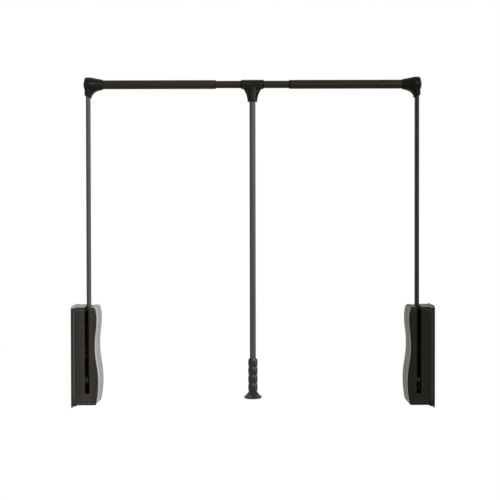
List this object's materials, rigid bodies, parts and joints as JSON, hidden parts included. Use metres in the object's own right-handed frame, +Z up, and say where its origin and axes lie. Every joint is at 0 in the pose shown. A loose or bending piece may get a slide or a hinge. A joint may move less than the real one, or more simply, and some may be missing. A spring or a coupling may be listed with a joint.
{
  "type": "pull down closet rod",
  "caption": "Wall-mounted wardrobe lift: two housings with swinging arms carry a telescopic clothes rod, lowered by a hanging pull rod with a ribbed grip.",
  "frame": {"origin": "Midway between the two wall plates, at mid-depth of the housings, on the level of the wall plates' feet.", "axes": "+X along the clothes rod towards the right wall, -Y the front where the rod comes down, +Z up."},
  "size_m": [0.949, 0.12, 0.8671],
  "materials": {
    "zinc_steel": "zinc plated sheet steel",
    "black_steel": "black phosphated sheet steel",
    "dark_plastic": "fine moulded grain, dark grey-brown",
    "light_plastic": "fine moulded grain, light grey",
    "screw_steel": "bright steel",
    "natural_plastic": "natural acetal",
    "cast_metal": "die cast, tumbled",
    "spring_steel": "oiled spring wire",
    "dark_metal": "satin black",
    "black_rubber": "soft rubber",
    "dark_tube": "dark metallic coating",
    "bronze_tube": "dark bronze metallic coating",
    "black_plastic": "fine moulded grain",
    "black_screw": "black oxide",
    "grip_rubber": "satin soft plastic"
  },
  "bodies": {
    "left_housing": {"left_wall_plate": "zinc_steel", "left_base_shell": "dark_plastic", "left_side_cover": "light_plastic", "left_front_fascia": "dark_plastic", "left_bearing_plate": "black_steel", "left_spacer_posts": "black_steel", "left_spring_bracket": "black_steel", "left_pivot_pin": "screw_steel", "left_pivot_clip": "screw_steel", "left_rack_guide": "black_plastic", "left_spring": "spring_steel", "left_damper_body": "dark_metal", "left_damper_nut": "screw_steel", "left_rest_buffer": "black_rubber"},
    "left_lever": {"left_hub_sector": "cast_metal", "left_pivot_bushes": "natural_plastic", "left_hub_rivet": "screw_steel", "left_arm": "dark_tube", "left_elbow": "black_plastic", "left_elbow_screws": "black_screw", "left_outer_tube": "bronze_tube", "left_tube_bush": "black_plastic"},
    "left_rack_slide": {"left_rack": "dark_metal", "left_spring_rod": "screw_steel", "left_damper_rod": "screw_steel"},
    "centre_rod": {"inner_tube": "bronze_tube"},
    "tee_slider": {"tee_liner": "black_plastic"},
    "pull_handle": {"tee_joint": "black_plastic", "tee_screw": "black_screw", "pull_rod": "dark_tube", "grip": "grip_rubber"},
    "right_lever": {"right_hub_sector": "cast_metal", "right_pivot_bushes": "natural_plastic", "right_hub_rivet": "screw_steel", "right_arm": "dark_tube", "right_elbow": "black_plastic", "right_elbow_screws": "black_screw", "right_outer_tube": "bronze_tube", "right_tube_bush": "black_plastic"},
    "right_housing": {"right_wall_plate": "zinc_steel", "right_base_shell": "dark_plastic", "right_side_cover": "light_plastic", "right_front_fascia": "dark_plastic", "right_bearing_plate": "black_steel", "right_spacer_posts": "black_steel", "right_spring_bracket": "black_steel", "right_pivot_pin": "screw_steel", "right_pivot_clip": "screw_steel", "right_rack_guide": "black_plastic", "right_spring": "spring_steel", "right_damper_body": "dark_metal", "right_damper_nut": "screw_steel", "right_rest_buffer": "black_rubber"},
    "right_rack_slide": {"right_rack": "dark_metal", "right_spring_rod": "screw_steel", "right_damper_rod": "screw_steel"}
  },
  "joints": [
    {"name": "lift_swing", "type": "hinge", "parent": "left_housing", "child": "left_lever", "pos_m": [-0.4325, -0.013, 0.0685], "axis": [1, 0, 0], "range_deg": [0, 105], "stiffness_Nm_per_rad": 10, "springref_deg": -85.94},
    {"name": "left_rack_travel", "type": "slide", "parent": "left_housing", "child": "left_rack_slide", "axis": [0, 0, 1], "range_m": [0, 0.03666], "deforming": ["left_spring"]},
    {"name": "left_extend", "type": "slide", "parent": "left_lever", "child": "centre_rod", "axis": [1, 0, 0], "range_m": [-0.029, 0.136]},
    {"name": "right_extend", "type": "slide", "parent": "centre_rod", "child": "right_lever", "axis": [1, 0, 0], "range_m": [-0.029, 0.136]},
    {"name": "right_pivot", "type": "hinge", "parent": "right_lever", "child": "right_housing", "pos_m": [0.4325, -0.013, 0.0685], "axis": [1, 0, 0], "range_deg": [-105, 0]},
    {"name": "right_rack_travel", "type": "slide", "parent": "right_housing", "child": "right_rack_slide", "axis": [0, 0, 1], "range_m": [0, 0.03666], "deforming": ["right_spring"]},
    {"name": "tee_travel", "type": "slide", "parent": "centre_rod", "child": "tee_slider", "axis": [1, 0, 0], "range_m": [-0.035, 0.035]},
    {"name": "handle_swing", "type": "hinge", "parent": "tee_slider", "child": "pull_handle", "pos_m": [0, -0.013, 0.8475], "axis": [1, 0, 0], "continuous": true}
  ],
  "couplings": [
    {"joint": "left_rack_travel", "follows": "lift_swing", "m_per_rad": 0.02},
    {"joint": "right_pivot", "follows": "lift_swing", "ratio": -1},
    {"joint": "right_rack_travel", "follows": "lift_swing", "m_per_rad": 0.02}
  ]
}
